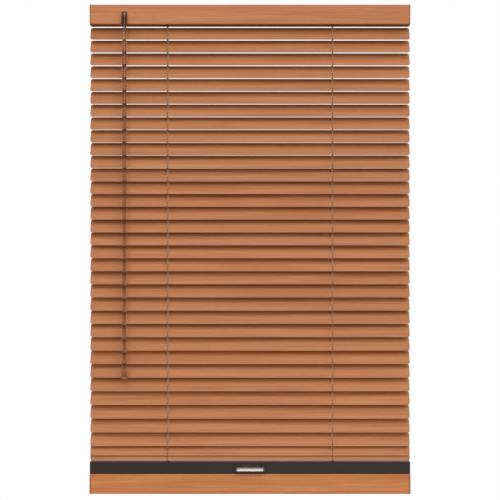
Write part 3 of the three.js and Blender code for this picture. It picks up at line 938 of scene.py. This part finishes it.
class BLIND_OT_release_handle(bpy.types.Operator):
    """Makes the release handle's finger lip and its dark slider"""

    bl_idname = "blind.release_handle"
    bl_label = "Release handle"

    def execute(self, context):
        low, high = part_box("release_handle")
        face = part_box("bottom_rail_cover")[0].y - 0.3 * MM
        lip_top = low.z + 7.4 * MM
        self.lip(low, high, face, lip_top)
        self.slider(high, face, lip_top)
        return {"FINISHED"}

    def lip(self, low, high, face, lip_top):
        """A finger lip: round over the top, thin at the foot, and drawn in to a round end on each side."""
        half = (high.x - low.x) / 2
        reach = face - low.y
        foot = low.z + 0.8 * MM
        arc = [math.radians(a) for a in range(0, 91, 9)]
        profile = [(face - reach * math.sin(a), foot + (lip_top - foot) * math.cos(a)) for a in arc]
        profile += [(low.y + 0.3 * MM, low.z + 0.3 * MM), (low.y + 0.9 * MM, low.z), (face, low.z)]
        end = 5 * MM
        turn = [math.radians(a) for a in range(30, 91, 10)]
        left = [(-half + end * (math.cos(turn[0]) - math.cos(a)), math.sin(a)) for a in turn]
        stations = left + [(-x, size) for x, size in reversed(left)]
        middle_z = low.z + 2.4 * MM
        start, size = stations[0]
        bm = bmesh.new()
        section = bm.faces.new([bm.verts.new((start, y, z)) for y, z in profile])
        anchor = Matrix.Translation((0, -face, -middle_z))
        bmesh.ops.scale(bm, vec=(1, size, size), space=anchor, verts=section.verts[:])
        for x, wanted in stations[1:]:
            made = bmesh.ops.extrude_face_region(bm, geom=[section])["geom"]
            verts = [item for item in made if isinstance(item, bmesh.types.BMVert)]
            section = next(item for item in made if isinstance(item, bmesh.types.BMFace))
            bmesh.ops.translate(bm, vec=(x - start, 0, 0), verts=verts)
            bmesh.ops.scale(bm, vec=(1, wanted / size, wanted / size), space=anchor, verts=verts)
            start, size = x, wanted
        clean(bm)
        nickel = finish("Satin nickel plate")
        piece("handle_lip", bm, "release_handle", nickel, ["release_handle"], 60)

    def slider(self, high, face, lip_top):
        """The moulded slider: a tongue above the lip, a neck, and a shutter behind the cover's slot."""
        wall = 1.5 * MM
        shutter = plate(46 * MM, 8 * MM, 1.4 * MM, 1.6 * MM, (), 0.3 * MM)
        centre = high.z - 4.7 * MM
        placed(shutter, FACING_FRONT, Matrix.Translation((0, face + wall + 1.4 * MM, centre)))
        neck = plate(36 * MM, 7 * MM, 2.6 * MM, 1 * MM, (), 0.3 * MM)
        placed(neck, Matrix.Translation((0, high.y - 3.5 * MM, centre)))
        height = high.z - lip_top + 1.5 * MM
        tongue = plate(34 * MM, height, 1.2 * MM, 1.6 * MM, (), 0.3 * MM)
        placed(tongue, FACING_FRONT, Matrix.Translation((0, face - 0.8 * MM, high.z - height / 2)))
        parts = joined(shutter, neck, tongue)
        piece("handle_slider", parts, "release_handle", finish("Dark moulded ABS"))


class BLIND_OT_stage(bpy.types.Operator):
    """Sets up a plain pale floor and soft studio light"""

    bl_idname = "blind.stage"
    bl_label = "Stage"

    def execute(self, context):
        scene = context.scene
        scene.view_settings.view_transform = "Standard"
        self.floor(scene)
        self.world(scene)
        self.sun(scene, "Key", (-34, 0, 12), 2.4, 70)
        self.sun(scene, "Back fill", (-40, 0, 165), 0.9, 60)
        return {"FINISHED"}

    def floor(self, scene):
        """A round matt floor, well under the blind."""
        bm = bmesh.new()
        level = Matrix.Translation((0, 0, -1.7))
        bmesh.ops.create_circle(bm, cap_ends=True, radius=1.1, segments=96, matrix=level)
        mesh = bpy.data.meshes.new("Floor")
        bm.to_mesh(mesh)
        bm.free()
        material, tree = new_material("Matt studio floor")
        cloud = noise_at(tree, (0.4, 0.4, 0.4), 2.0)
        tone = colours().floor
        end_shader(tree, {
            "Base Color": ramp(tree, cloud, shade(tone, 0.97), tuple(tone)),
            "Roughness": 0.9,
        })
        mesh.materials.append(material)
        floor = bpy.data.objects.new("Floor", mesh)
        scene.collection.objects.link(floor)

    def world(self, scene):
        """White to the camera, and a softer, dimmer sky as light, darker from below."""
        world = bpy.data.worlds.new("Studio")
        world.use_nodes = True
        tree = world.node_tree
        tree.nodes.clear()
        ray = add_node(tree, "ShaderNodeLightPath")
        coords = add_node(tree, "ShaderNodeTexCoord")
        split = add_node(tree, "ShaderNodeSeparateXYZ", {"Vector": coords.outputs["Generated"]})
        sky = add_node(tree, "ShaderNodeMapRange", {
            "Value": split.outputs["Z"], "From Min": -0.25, "From Max": 0.6, "To Min": 0.0, "To Max": 0.55,
        }).outputs["Result"]
        seen = {0: ray.outputs["Is Camera Ray"], 1: sky}
        level = add_node(tree, "ShaderNodeMath", seen, operation="MAXIMUM")
        light = add_node(tree, "ShaderNodeBackground", {"Strength": level.outputs[0]})
        light.inputs["Color"].default_value = (1, 1, 1, 1)
        add_node(tree, "ShaderNodeOutputWorld", {"Surface": light.outputs["Background"]})
        scene.world = world

    def sun(self, scene, name, turn, strength, softness):
        """A sun lamp, turned by degrees from level, as soft as its angle in degrees."""
        data = bpy.data.lights.new(name, "SUN")
        data.energy = strength
        data.angle = math.radians(softness)
        light = bpy.data.objects.new(name, data)
        light.rotation_euler = [math.radians(90 + turn[0]), math.radians(turn[1]), math.radians(turn[2])]
        scene.collection.objects.link(light)


class BLIND_PT_panel(bpy.types.Panel):
    """Lists the blind's pieces, sizes and colours"""

    bl_label = "Venetian blind"
    bl_idname = "BLIND_PT_panel"
    bl_space_type = "VIEW_3D"
    bl_region_type = "UI"
    bl_category = "Blind"

    def draw(self, context):
        for operator in OPERATORS:
            self.layout.operator(operator.bl_idname)
        for group in (context.scene.blind_sizes, context.scene.blind_colours):
            box = self.layout.box()
            for name in group.__annotations__:
                box.prop(group, name)


OPERATORS = (
    BLIND_OT_camera,
    BLIND_OT_headrail,
    BLIND_OT_tilter,
    BLIND_OT_slats,
    BLIND_OT_ladders,
    BLIND_OT_lift_cords,
    BLIND_OT_wand,
    BLIND_OT_bottom_rail,
    BLIND_OT_release_handle,
    BLIND_OT_stage,
)
CLASSES = (BlindSizes, BlindColours, *OPERATORS, BLIND_PT_panel)


def register():
    """Adds the settings, operators and panel."""
    for cls in CLASSES:
        bpy.utils.register_class(cls)
    bpy.types.Scene.blind_sizes = PointerProperty(type=BlindSizes)
    bpy.types.Scene.blind_colours = PointerProperty(type=BlindColours)


def unregister():
    """Takes them away again."""
    del bpy.types.Scene.blind_colours
    del bpy.types.Scene.blind_sizes
    for cls in reversed(CLASSES):
        bpy.utils.unregister_class(cls)


def main():
    """Builds the whole blind, one operator after another."""
    register()
    for operator in OPERATORS:
        group, name = operator.bl_idname.split(".")
        getattr(getattr(bpy.ops, group), name)()


if __name__ == "__main__":
    main()
